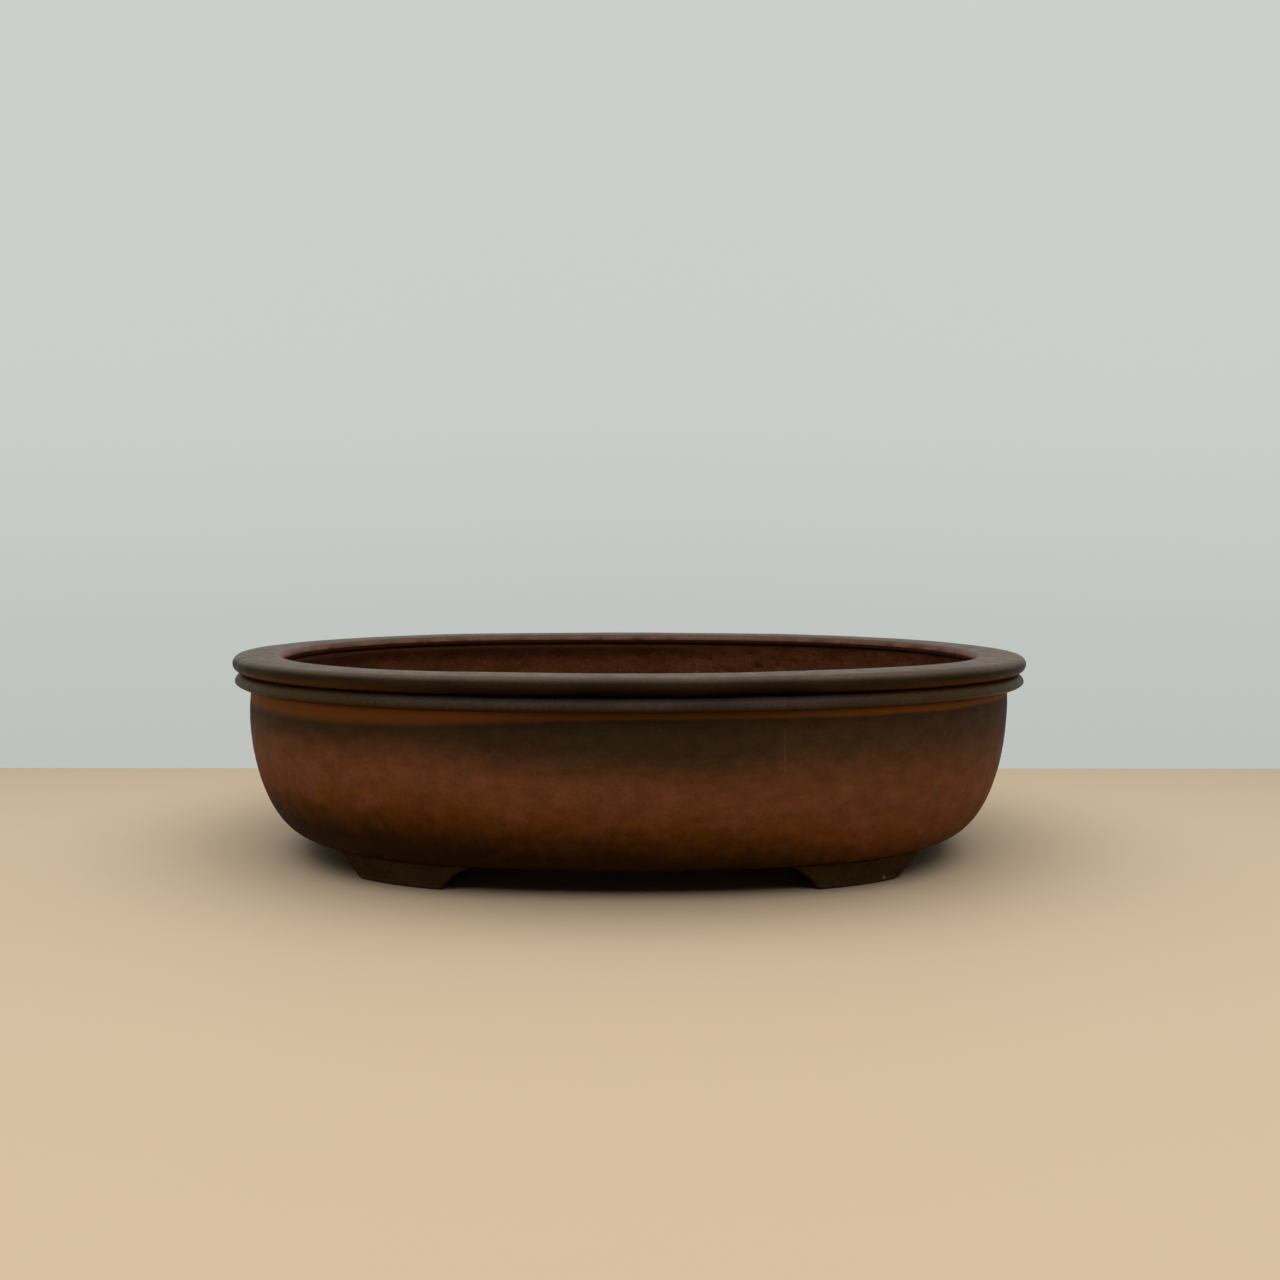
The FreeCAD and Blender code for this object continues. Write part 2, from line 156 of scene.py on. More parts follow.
# the two shades that each of these is blotched with; the rim top's are lightened by a
# painted highlight, the rim's under ones are painted shade, and the belt roll's grey is partly
# a painted sheen
RIM_TOP_AND_HIGHLIGHT = ((0.084, 0.052, 0.028), (0.112, 0.071, 0.039))
RIM_NOSE = ((0.026, 0.016, 0.008), (0.034, 0.023, 0.012))
RIM_UNDER_SHADE = ((0.005, 0.001, 0.001), (0.018, 0.007, 0.001))
BELT_ROLL_AND_SHEEN = ((0.048, 0.034, 0.027), (0.072, 0.051, 0.040))
INNER_CLAY = ((0.095, 0.032, 0.011), (0.140, 0.050, 0.020))
FOOT_CLAY = ((0.050, 0.024, 0.004), (0.072, 0.037, 0.014))
WIRE_GREY = ((0.50, 0.47, 0.43), (0.62, 0.60, 0.57))

# heights over which one colour zone of the wall fades into the next, before they wander
FOOT_FADE = (13, 36)
BURNT_FADE = (26, 44)
SHOULDER_FADE = (41, 62)

# marks of use on the front, each from one (x, height) to another
WALL_SCRATCHES = [((57, 69), (57.5, 50)), ((126, 66), (119.5, 54.5)), ((119, 55), (115, 57))]
FOOT_CHIP = (103.2, 2.0)


# ---------------------------------------------------------------- repeatable noise
def hashed(cells, seed):
    """A repeatable random number from 0 to 1 for each whole-number cell."""
    c = cells.astype(np.int64).astype(np.uint64)
    h = c[..., 0] * np.uint64(374761393) + c[..., 1] * np.uint64(668265263)
    h = h + c[..., 2] * np.uint64(2147483647) + np.uint64(seed) * np.uint64(974634777)
    h = (h ^ (h >> np.uint64(13))) * np.uint64(1274126177)
    h = (h ^ (h >> np.uint64(16))) * np.uint64(2246822519)
    h = h ^ (h >> np.uint64(15))
    return (h & np.uint64(0xFFFFFF)).astype(float) / 0xFFFFFF


def noise(points, cell, seed=0, octaves=1):
    """Smooth noise from about -1 to 1. cell is its size in millimetres, or one size per axis."""
    total = 0.0
    for octave in range(octaves):
        p = points / (np.asarray(cell, float) / 2**octave)
        base = np.floor(p)
        f = p - base
        f = f * f * (3 - 2 * f)
        value = 0.0
        for corner in np.ndindex(2, 2, 2):
            step = np.array(corner)
            weight = np.prod(np.where(step, f, 1 - f), axis=-1)
            value = value + weight * hashed(base + step, seed + 17 * octave)
        total = total + (2 * value - 1) / 2**octave
    return total


def pocks(points, cell, seed, chance, least, most):
    """How far inside a scatter of random blobs each point lies: 0 outside, 1 at a centre.
    least and most are blob radii in cells."""
    p = points / np.asarray(cell, float)
    base = np.floor(p)
    best = np.zeros(p.shape[:-1])
    for corner in np.ndindex(3, 3, 3):
        home = base + np.array(corner) - 1
        centre = home + np.stack([hashed(home, seed + k) for k in (1, 2, 3)], axis=-1)
        radius = least + (most - least) * hashed(home, seed + 4)
        depth = 1 - ((p - centre) ** 2).sum(axis=-1) / radius**2
        best = np.maximum(best, np.where(hashed(home, seed) < chance, depth, 0))
    return best


def ease(value, low, high):
    """Rises smoothly from 0 at low to 1 at high. low may be the greater of the two."""
    t = np.clip((value - low) / (high - low), 0, 1)
    return t * t * (3 - 2 * t)


# ---------------------------------------------------------------- the oval and its sweeps
def oval(count):
    """Evenly spaced stations round the oval: arc centres, arc radii and outward angles."""
    join = math.atan2(FLANK_CENTRE, END_CENTRE)
    arcs = [
        (END_CENTRE, 0, END_RADIUS, -join, join),
        (0, -FLANK_CENTRE, FLANK_RADIUS, join, math.pi - join),
        (-END_CENTRE, 0, END_RADIUS, math.pi - join, math.pi + join),
        (0, FLANK_CENTRE, FLANK_RADIUS, math.pi + join, 2 * math.pi - join),
    ]
    lengths = [r * (b - a) for _, _, r, a, b in arcs]
    step = sum(lengths) / count
    rows = []
    walked = 0.0
    k = 0
    for (cx, cy, r, a, b), length in zip(arcs, lengths):
        while k * step < walked + length - 1e-9:
            rows.append((cx, cy, r, a + (k * step - walked) / r))
            k += 1
        walked += length
    return np.array(rows[:count]).T


def settle(co):
    """How the fired pot differs from the ideal one: the rim's front right quarter stands almost a
    millimetre high, and the bowl leans to the left by half a millimetre under the belt."""
    x, y, z = co[..., 0], co[..., 1], co[..., 2]
    rise = ease(z, FOOT_TOP, LIP_TOP)
    co = co.copy()
    co[..., 2] = z + LIFT * rise * ease(x, 0, 0.6 * HALF_LENGTH) * ease(-y, 0, 0.8 * HALF_WIDTH)
    co[..., 0] = x - LEAN * (1 - ease(z, *LEAN_FADE))
    return co


def make_object(name, verts, faces, material, node):
    """A mesh in the part's frame that stands for a CAD node and rides on the root body."""
    mesh = bpy.data.meshes.new(name)
    mesh.from_pydata((verts * MM).tolist(), [], faces)
    mesh.materials.append(material)
    mesh.shade_smooth()
    obj = bpy.data.objects.new(name, mesh)
    bpy.context.scene.collection.objects.link(obj)
    dress(obj, node)
    return obj


def dress(obj, node):
    """Fixes a piece to the root body in place of a CAD node."""
    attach(obj, "root")
    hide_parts(node)


def ring(section, count, relief, material, node, slot):
    """Sweeps a closed section, listed with the clay on its left, round the oval.
    relief(points, section) gives how far each point stands out along the surface's normal."""
    section = np.asarray(section, float)
    cx, cy, radius, angle = oval(count)
    ahead = np.roll(section, -1, axis=0) - np.roll(section, 1, axis=0)
    ahead = ahead / np.maximum(np.linalg.norm(ahead, axis=1, keepdims=True), 1e-9)
    out_inset, out_height = ahead[:, 1], -ahead[:, 0]
    across, up = np.cos(angle)[:, None], np.sin(angle)[:, None]
    reach = radius[:, None] - section[None, :, 0]
    co = np.stack(
        [
            cx[:, None] + reach * across,
            cy[:, None] + reach * up,
            np.broadcast_to(section[None, :, 1], reach.shape),
        ],
        axis=-1,
    )
    normal = np.stack(
        [
            -out_inset[None, :] * across,
            -out_inset[None, :] * up,
            np.broadcast_to(out_height[None, :], reach.shape),
        ],
        axis=-1,
    )
    co = settle(co + normal * relief(co, section)[..., None])
    m = len(section)
    faces = []
    for i in range(count):
        a, b = i * m, ((i + 1) % count) * m
        for j in range(m):
            k = (j + 1) % m
            faces.append((a + j, a + k, b + k, b + j))
    return make_object(node + "_clay", co.reshape(-1, 3), faces, material, node)


def arc(inset, height, radius, start, stop, count):
    """Points on a circle of a section. Angles in degrees: 0 points inward, 90 up."""
    t = np.radians(np.linspace(start, stop, count))
    return np.stack([inset + radius * np.cos(t), height + radius * np.sin(t)], axis=1)


def line(a, b, count):
    return np.linspace(a, b, count)


def cubic(a, b, c, d, count):
    t = np.linspace(0, 1, count)[:, None]
    a, b, c, d = (np.array(v, float) for v in (a, b, c, d))
    return (1 - t) ** 3 * a + 3 * (1 - t) ** 2 * t * b + 3 * (1 - t) * t**2 * c + t**3 * d


def joined(*runs):
    """Runs of section points end to end, without repeating the shared ones. Each run's last
    argument is how many points it has."""
    return np.concatenate([run[:-1] for run in runs])


# ---------------------------------------------------------------- materials
class Graph:
    """A material's node tree, built by calling one method per node. Coordinates are in mm."""

    def __init__(self, name):
        self.material = bpy.data.materials.new(name)
        self.material.use_nodes = True
        self.tree = self.material.node_tree
        self.tree.nodes.clear()
        coords = self.add("ShaderNodeTexCoord")
        scaled = self.add("ShaderNodeVectorMath", operation="SCALE")
        scaled.inputs["Scale"].default_value = 1 / MM
        self.tree.links.new(coords.outputs["Object"], scaled.inputs[0])
        self.place = scaled.outputs[0]
        split = self.add("ShaderNodeSeparateXYZ")
        self.tree.links.new(self.place, split.inputs[0])
        self.x, self.y, self.z = split.outputs

    def add(self, kind, **settings):
        node = self.tree.nodes.new(kind)
        for key, value in settings.items():
            setattr(node, key, value)
        return node

    def feed(self, socket, value):
        if isinstance(value, bpy.types.NodeSocket):
            self.tree.links.new(value, socket)
        elif isinstance(value, (tuple, list)) and len(value) == 3 and socket.type == "RGBA":
            socket.default_value = (*value, 1)
        else:
            socket.default_value = value

    def math(self, operation, a, b=0.0):
        node = self.add("ShaderNodeMath", operation=operation)
        self.feed(node.inputs[0], a)
        self.feed(node.inputs[1], b)
        return node.outputs[0]

    def plus(self, a, b):
        return self.math("ADD", a, b)

    def times(self, a, b):
        return self.math("MULTIPLY", a, b)

    def length(self, a, b):
        return self.math("SQRT", self.plus(self.times(a, a), self.times(b, b)))

    def ease(self, value, low, high, start=0.0, stop=1.0):
        node = self.add("ShaderNodeMapRange", interpolation_type="SMOOTHSTEP")
        for socket, item in zip(node.inputs[:5], (value, low, high, start, stop)):
            self.feed(socket, item)
        return node.outputs[0]

    def mix(self, share, a, b, extend=False):
        """Blends from a to b. With extend, a share above 1 goes on past b."""
        node = self.add("ShaderNodeMix", data_type="RGBA", clamp_factor=not extend)
        self.feed(node.inputs[0], share)
        self.feed(node.inputs[6], a)
        self.feed(node.inputs[7], b)
        return node.outputs[2]

    def stretched(self, sx, sy, sz):
        """Coordinates times a factor per axis. Below 1, it draws a pattern out along the axis."""
        node = self.add("ShaderNodeMapping")
        self.tree.links.new(self.place, node.inputs["Vector"])
        node.inputs["Scale"].default_value = (sx, sy, sz)
        return node.outputs[0]

    def noise(self, cell, detail=2.0, rough=0.5, vector=None):
        """Noise from 0 to 1 with features about cell mm across."""
        node = self.add("ShaderNodeTexNoise")
        self.feed(node.inputs["Vector"], vector or self.place)
        node.inputs["Scale"].default_value = 1 / cell
        node.inputs["Detail"].default_value = detail
        node.inputs["Roughness"].default_value = rough
        return node.outputs["Fac"]

    def specks(self, cell, size):
        """1 inside small round specks, one per cell, that cover size of the cell's width."""
        node = self.add("ShaderNodeTexVoronoi")
        self.feed(node.inputs["Vector"], self.place)
        node.inputs["Scale"].default_value = 1 / cell
        return self.ease(node.outputs["Distance"], size, size * 0.6)

    def bump(self, height, depth, under=None):
        """depth is the height in mm that a value of 1 stands for."""
        node = self.add("ShaderNodeBump")
        node.inputs["Strength"].default_value = 1.0
        node.inputs["Distance"].default_value = depth * MM
        self.feed(node.inputs["Height"], height)
        if under is not None:
            self.feed(node.inputs["Normal"], under)
        return node.outputs["Normal"]

    def finish(self, colour, roughness, normal=None, **more):
        shader = self.add("ShaderNodeBsdfPrincipled")
        output = self.add("ShaderNodeOutputMaterial")
        self.feed(shader.inputs["Base Color"], colour)
        self.feed(shader.inputs["Roughness"], roughness)
        if normal is not None:
            self.feed(shader.inputs["Normal"], normal)
        for key, value in more.items():
            self.feed(shader.inputs[key.replace("_", " ")], value)
        self.tree.links.new(shader.outputs[0], output.inputs[0])
        return self.material


def clay_grain(g, depth, cell=0.7):
    """Fine sandy grain with broader dimples, as a normal."""
    fine = g.noise(cell, detail=3, rough=0.6)
    broad = g.noise(cell * 6, detail=2)
    return g.bump(broad, depth * 2, under=g.bump(fine, depth))


def zone_height(g):
    """Height as the flame saw it: the colour zones wander, start higher at the left end and
    close up at the right end."""
    side = g.math("DIVIDE", g.x, HALF_LENGTH)
    along = g.noise(44, detail=4, rough=0.5, vector=g.stretched(0.5, 0.5, 1))
    wander = g.times(g.plus(along, -0.5), 12)
    left = g.ease(side, -0.08, -0.5, 0, -7)
    right = g.times(g.ease(side, 0.1, 0.6), g.ease(g.z, 62, 18, -3, 9))
    return g.plus(g.plus(g.z, wander), g.plus(left, right))


def orange_line(g, base):
    """Adds the bright flashed line under the belt, wider towards the left end."""
    side = g.math("DIVIDE", g.x, HALF_LENGTH)
    width = g.plus(g.ease(side, 0.1, -0.75, 2.4, 8.0), g.times(g.noise(18, 3), 1.2))
    edge = g.math("SUBTRACT", BELT_BOTTOM, width)
    share = g.ease(g.z, edge, g.plus(edge, g.ease(side, 0.1, -0.75, 1.6, 5.0)), 0, 0.9)
    strong = g.ease(g.math("ABSOLUTE", g.plus(side, -0.05)), 0.15, 0.5, 0.5, 1)
    return g.mix(g.times(share, strong), base, ORANGE)


def scratch(g, start, end):
    """A fine broken scratch on the front, between two points given as (x, height)."""
    width, core = 0.28, 0.1
    (x0, z0), (x1, z1) = start, end
    length = math.hypot(x1 - x0, z1 - z0)
    dx, dz = (x1 - x0) / length, (z1 - z0) / length
    right, up = g.plus(g.x, -x0), g.plus(g.z, -z0)
    along = g.plus(g.times(right, dx), g.times(up, dz))
    off = g.math("ABSOLUTE", g.plus(g.times(right, dz), g.times(up, -dx)))
    ends = g.times(g.ease(along, 0, 2), g.ease(along, length, length - 3))
    broken = g.times(ends, g.ease(g.noise(3, 2), 0.35, 0.6))
    return g.times(g.times(broken, g.ease(off, width, core)), g.math("LESS_THAN", g.y, 0))


def wall_clay():
    """Iron-flashed stoneware: dark at the foot, red-brown on the belly, olive on the shoulder."""
    g = Graph("flashed_stoneware")
    height = zone_height(g)
    ragged = g.noise(6, detail=4, rough=0.6, vector=g.stretched(1, 1, 0.4))
    low = g.plus(height, g.times(g.plus(ragged, -0.5), 11))
    base = g.mix(g.ease(low, *FOOT_FADE), FOOT_BROWN, BURNT_BROWN)
    base = g.mix(g.ease(height, *BURNT_FADE), base, RED_BROWN)
    side = g.math("DIVIDE", g.x, HALF_LENGTH)
    shoulder = g.mix(g.ease(side, 0.1, 0.55), OLIVE_BROWN, OLIVE_LIGHT)
    belly = g.times(g.ease(height, 22, 34), g.ease(height, 56, 44))
    pink = g.ease(g.noise(11, detail=4, rough=0.6), 0.5, 0.66, 0, 0.6)
    base = g.mix(g.times(belly, pink), base, PINK_BROWN)
    moss = g.noise(8, detail=4, rough=0.65, vector=g.stretched(0.6, 0.6, 1.4))
    base = g.mix(g.times(belly, g.ease(moss, 0.52, 0.70, 0, 0.4)), base, MOSS_BROWN)
    base = g.mix(g.ease(height, *SHOULDER_FADE), base, shoulder)
    mottle = g.noise(5, detail=5, rough=0.6, vector=g.stretched(0.6, 0.6, 1))
    base = g.mix(g.ease(mottle, 0.3, 0.7, 0.86, 1.16), (0, 0, 0), base, extend=True)
    speckle = g.noise(1.0, detail=4, rough=0.75)
    base = g.mix(g.ease(speckle, 0.35, 0.6, 0.2, 0), base, NEAR_BLACK)
    base = g.mix(g.ease(speckle, 0.62, 0.8, 0, 0.25), base, RED_BROWN)
    base = orange_line(g, base)
    base = g.mix(g.times(g.specks(21, 0.02), 0.45), base, PALE_GROG)
    for start, end in WALL_SCRATCHES:
        base = g.mix(g.times(scratch(g, start, end), 0.15), base, PALE_GROG)
    roughness = g.ease(g.noise(9, detail=4), 0.3, 0.7, 0.55, 0.68)
    lines = g.noise(1.6, detail=2, vector=g.stretched(0.02, 0.02, 1))
    normal = g.bump(lines, 0.02, under=clay_grain(g, 0.04))
    return g.finish(base, roughness, normal, Specular_IOR_Level=0.03)


def burnished(name, colour, grain, low, high):
    """Finishes rim and belt clay: dark specks, fine grain, and a sheen that the burnishing
    tool leaves on what faces up and out but not in the undercuts."""
    g, base, sheen = colour(name)
    speckle = g.noise(0.9, detail=3, rough=0.7)
    base = g.mix(g.ease(speckle, 0.35, 0.65, 0.35, 0), base, NEAR_BLACK)
    roughness = g.ease(g.noise(6, detail=4), 0.3, 0.7, low, high)
    return g.finish(base, roughness, clay_grain(g, grain), Specular_IOR_Level=sheen)


def flashed_ends(g):
    """How strongly the flame reddened the undercuts: nothing at the middle, most at the ends."""
    return g.ease(g.math("ABSOLUTE", g.x), 0.3 * HALF_LENGTH, 0.75 * HALF_LENGTH, 0, 0.8)


def rim_colour(name):
    """Grey-brown on the top with a painted highlight, darker on the nose, near black with painted
    shade and orange-brown patches in the undercut, reddish on the worn inner edge with painted
    light lightening its lower part, and darkened by painted shade on the inner face."""
    g = Graph(name)
    patch = g.ease(g.noise(30, detail=4, rough=0.6), 0.3, 0.7)
    top = g.mix(patch, *RIM_TOP_AND_HIGHLIGHT)
    nose = g.mix(patch, *RIM_NOSE)
    # painted shade: the undercut under the lip is painted near black
    under = g.mix(patch, *RIM_UNDER_SHADE)
    # the top is lighter than the nose by a painted highlight
    base = g.mix(g.ease(g.z, LIP_TOP - 0.3, LIP_TOP - 2.7), top, nose)
    under = g.mix(flashed_ends(g), under, RIM_FLASHED)
    base = g.mix(g.ease(g.z, LIP_TOP - 2.8, LIP_BOTTOM + 1.6), base, under)
    inset = rim_inset(g)
    patchy = g.ease(g.noise(12, 4), 0.25, 0.6, 0.35, 1)
    inner = g.ease(inset, LIP_WIDTH - 4.5, LIP_WIDTH - 1.8, 0, patchy)
    worn = g.times(inner, g.ease(g.z, LIP_TOP - 3.5, LIP_TOP - 2.9))
    # painted light: the worn edge lightens lower down, where it turns away from the light above
    painted_light_low = g.ease(g.z, LIP_TOP - 0.8, LIP_TOP - 2.4)
    edge = g.mix(painted_light_low, RIM_WORN_EDGE, RIM_WORN_PAINTED_LIGHT)
    base = g.mix(worn, base, edge)
    # painted shade on the inner face
    face = g.ease(inset, LIP_WIDTH - 1.6, LIP_WIDTH - 0.4)
    dark = g.times(face, g.ease(g.z, LIP_TOP - 2.8, LIP_TOP - 3.4))
    sheen = g.ease(g.z, LIP_TOP - 2.8, LIP_TOP - 0.5, 0.02, 0.13)
    return g, g.mix(dark, base, RIM_FACE_SHADE), sheen


def rim_inset(g):
    """How far inside the rim's outer oval a point is, measured on the circle of its own arc."""
    across = g.math("ABSOLUTE", g.x)
    along = g.math("ABSOLUTE", g.y)
    past_end = g.plus(across, -END_CENTRE)
    end = g.math("SUBTRACT", END_RADIUS, g.length(past_end, along))
    flank = g.math("SUBTRACT", FLANK_RADIUS, g.length(across, g.plus(along, FLANK_CENTRE)))
    # the end arc covers what lies beyond the line through both arc centres
    on_end = g.math("GREATER_THAN", g.times(past_end, FLANK_CENTRE / END_CENTRE), along)
    return g.plus(flank, g.times(on_end, g.math("SUBTRACT", end, flank)))


def belt_colour(name):
    """Grey-brown on the roll, partly a painted sheen, and orange-brown darkened by painted shade
    where it turns under.
    """
    g = Graph(name)
    patch = g.ease(g.noise(25, detail=4, rough=0.6), 0.3, 0.7)
    # the roll's grey-brown is partly a painted sheen
    base = g.mix(patch, *BELT_ROLL_AND_SHEEN)
    flashed = flashed_ends(g)
    base = g.mix(flashed, base, BELT_FLASHED)
    upper = g.times(flashed, g.ease(g.z, LIP_BOTTOM - 1.6, LIP_BOTTOM + 0.2))
    base = g.mix(upper, base, BELT_UPPER)
    # painted shade: darker where the belt turns under
    under = g.ease(g.z, BELT_BOTTOM + 3.0, BELT_BOTTOM + 0.8)
    sheen = g.ease(g.z, BELT_BOTTOM + 1.0, BELT_BOTTOM + 3.6, 0.02, 0.07)
    return g, g.mix(under, base, BELT_UNDER_AND_SHADE), sheen


def inner_clay(name, dark=1.0):
    """Rough red-brown clay with pale grog and dark pits, as inside the bowl."""
    g = Graph(name)
    patch = g.noise(16, detail=5, rough=0.6)
    shades = [tuple(c * dark for c in shade) for shade in INNER_CLAY]
    colour = g.mix(g.ease(patch, 0.3, 0.7), *shades)
    grog = g.noise(1.3, detail=3, rough=0.65)
    colour = g.mix(g.ease(grog, 0.58, 0.75, 0, 0.6), colour, INNER_GROG)
    colour = g.mix(g.ease(grog, 0.42, 0.25, 0, 0.7), colour, NEAR_BLACK)
    # torn marks: faint all round, dark at the back right
    coarse = g.times(g.ease(g.x, 0, 30), g.math("GREATER_THAN", g.y, 0))
    torn = g.noise(2.4, detail=4, rough=0.7, vector=g.stretched(0.6, 0.6, 1.3))
    depth = g.plus(0.25, g.times(coarse, 0.45))
    colour = g.mix(g.times(g.ease(torn, 0.42, 0.34), depth), colour, NEAR_BLACK)
    colour = g.mix(g.times(g.specks(6, 0.09), 0.4), colour, PALE_GROG)
    # painted shade: darker under the rim, on the clay smeared up against it
    painted_rim_shade = g.times(g.ease(g.z, 75, 81), g.ease(g.x, 60, 10, 0, 0.6))
    colour = g.mix(painted_rim_shade, colour, UNDER_RIM_SHADE)
    return g.finish(colour, 0.8, clay_grain(g, 0.16, cell=1.0), Specular_IOR_Level=0.05)


def foot_clay():
    g = Graph("foot_clay")
    patch = g.noise(9, detail=5, rough=0.6)
    colour = g.mix(g.ease(patch, 0.3, 0.7), *FOOT_CLAY)
    worn = g.ease(g.plus(g.z, g.times(patch, 1.5)), 3.4, 1.6)
    colour = g.mix(g.times(worn, 0.35), colour, FOOT_WORN)
    grain = g.noise(1.2, detail=4, rough=0.7)
    colour = g.mix(g.ease(grain, 0.35, 0.6, 0.4, 0), colour, NEAR_BLACK)
    off = g.length(g.plus(g.x, -FOOT_CHIP[0]), g.plus(g.z, -FOOT_CHIP[1]))
    chip = g.times(g.ease(off, 1.0, 0.4), g.math("LESS_THAN", g.y, 0))
    colour = g.mix(g.times(chip, 0.8), colour, PALE_GROG)
    return g.finish(colour, 0.72, clay_grain(g, 0.05), Specular_IOR_Level=0.05)


def net_plastic():
    g = Graph("black_net_plastic")
    dust = g.noise(5, detail=4)
    colour = g.mix(g.ease(dust, 0.45, 0.75, 0, 0.35), NET_BLACK, NET_DUST)
    return g.finish(colour, g.ease(dust, 0.3, 0.7, 0.38, 0.6), g.bump(g.noise(0.5, 2), 0.03))


def clip_wire():
    g = Graph("aluminium_wire")
    drawn = g.noise(0.6, detail=2)
    colour = g.mix(drawn, *WIRE_GREY)
    return g.finish(colour, g.ease(drawn, 0.3, 0.7, 0.3, 0.45), Metallic=1.0)


# ---------------------------------------------------------------- clay rings
def wall_section():
    top = LIP_BOTTOM
    seat = WALL_TOP_INSET + BELT_SEAT
    step = (WALL_TOP_INSET, BELT_BOTTOM)
    underside = (UNDERSIDE_INSET, FLOOR_BOTTOM)
    mitre = (MITRE_INSET, FLOOR_TOP)
    inner_belly = WALL_BELLY + (WALL_THICKNESS, WALL_THICKNESS / 2)
    inner_turn = (WALL_TURN[0] + WALL_THICKNESS, FLOOR_TOP + WALL_CORNER_RISE)
    return joined(
        line((seat, top), (seat, BELT_BOTTOM + BELT_FOOT_RISE), 5),
        line((seat, BELT_BOTTOM + BELT_FOOT_RISE), step, 3),
        cubic(step, WALL_BELLY, WALL_TURN, underside, 54),
        line(underside, mitre, 5),
        cubic(mitre, inner_turn, inner_belly, BEVEL_END, 60),
        line(BEVEL_END, BEVEL_START, 4),
        line(BEVEL_START, (seat, top), 4),
    )


def wall_relief(co, section):
    """Outside: faint smoothing bands. Inside: drag marks and pits, coarser at the back right, and
    clay smeared up against the rim everywhere else."""
    inset, height = section[:, 0], section[:, 1]
    outside = (inset < UNDERSIDE_INSET) & (height < BELT_BOTTOM)
    # a line inside the clay that parts the outer face from the inner one
    core_top = WALL_TOP_INSET + WALL_THICKNESS / 2
    core = np.interp(height, [FLOOR_BOTTOM, 20, 50], [UNDERSIDE_INSET + 0.5, 22, core_top])
    outer = (inset < core) * outside * ease(height, BELT_BOTTOM, BELT_BOTTOM - 2)
    outer = outer * ease(height, FLOOR_BOTTOM, FLOOR_BOTTOM + 1.5)
    slope = (BEVEL_END[0] - BEVEL_START[0]) / (BEVEL_END[1] - BEVEL_START[1])
    bevel = (height >= LIP_BOTTOM) & (inset < BEVEL_START[0] + slope * (height - LIP_BOTTOM) + 0.1)
    inner = (inset > core_top) * (inset >= core) * (height > FLOOR_TOP + 0.2) * ~bevel
    inner = inner * ease(height, BEVEL_END[1], BEVEL_END[1] - 0.9)
    broad = 0.22 * noise(co, (60, 60, 26), seed=3)
    bands = 0.05 * noise(co, (80, 80, 2.6), seed=5, octaves=2)
    grain = 0.035 * noise(co, 2.4, seed=7, octaves=2)
    coarse = ease(co[..., 0], 0, 30) * (co[..., 1] > 0)
    drag = (0.20 + 0.15 * coarse) * noise(co, (9, 9, 2.2), seed=11, octaves=2)
    pits = (0.6 + 0.5 * coarse) * pocks(co, (6, 6, 4), 13, 0.5, 0.2, 0.42)
    torn = 1.3 * coarse * pocks(co, (13, 13, 5), 83, 0.5, 0.15, 0.36)
    lumps = 0.3 * noise(co, (30, 30, 14), seed=19)
    rough_part = (drag + lumps - pits - torn) * (1 - 0.6 * ease(height, 76, 82))
    smear = 1.2 * ease(height, 74, 82) * (1 - 0.8 * ease(co[..., 0], 10, 60) * (co[..., 1] > 0))
    return outer * (broad + bands + grain) + inner * (rough_part + smear)


def lip_section():
    nose = NOSE_RADIUS
    rim = LIP_TOP - LIP_CROWN
    upper, lower = LIP_INNER_RADIUS, LIP_INNER_LOWER_RADIUS
    inner = LIP_WIDTH
    groove = (GROOVE_INSET, LIP_BOTTOM + GROOVE_RISE)
    seat = (WALL_TOP_INSET + BELT_SEAT, LIP_BOTTOM)
    run_on = math.radians(NOSE_RUN_ON_DEG)
    chin = (nose - nose * math.cos(run_on), rim - nose - nose * math.sin(run_on))
    t = np.linspace(1, 0, 26)
    across = nose + (inner - upper - nose) * t
    top = np.stack([across, rim + LIP_CROWN * 4 * t * (1 - t)], axis=1)
    return joined(
        top,
        arc(nose, rim - nose, nose, 90, 180 + NOSE_RUN_ON_DEG, 24),
        line(chin, groove, 5),
        line(groove, seat, 3),
        line(seat, BEVEL_START, 5),
        line(BEVEL_START, BEVEL_END, 4),
        line(BEVEL_END, (inner - lower, BEVEL_END[1]), 2),
        arc(inner - lower, BEVEL_END[1] + lower, lower, -90, 0, 7),
        line((inner, BEVEL_END[1] + lower), (inner, rim - upper), 4),
        arc(inner - upper, rim - upper, upper, 0, 90, 10),
    )


def lip_relief(co, section):
    inset, height = section[:, 0], section[:, 1]
    shown = ease(height, LIP_BOTTOM + 0.1, LIP_BOTTOM + 1.5)
    joint = (inset > BEVEL_START[0]) * (height < BEVEL_END[1] + 0.2)
    shown = np.where(joint, 0, shown)
    broad = 0.16 * noise(co, (45, 45, 12), seed=23)
    ripple = 0.05 * noise(co, (14, 14, 3), seed=29, octaves=2)
    inner_face = ease(inset, LIP_WIDTH - 1.8, LIP_WIDTH)
    rough_inside = 0.10 * inner_face * noise(co, (6, 6, 2), seed=31, octaves=3)
    nicks = 0.35 * ease(inset, 16, 20.5) * pocks(co, (11, 11, 6), 37, 0.3, 0.06, 0.16)
    return shown * (broad + ripple + rough_inside - nicks)


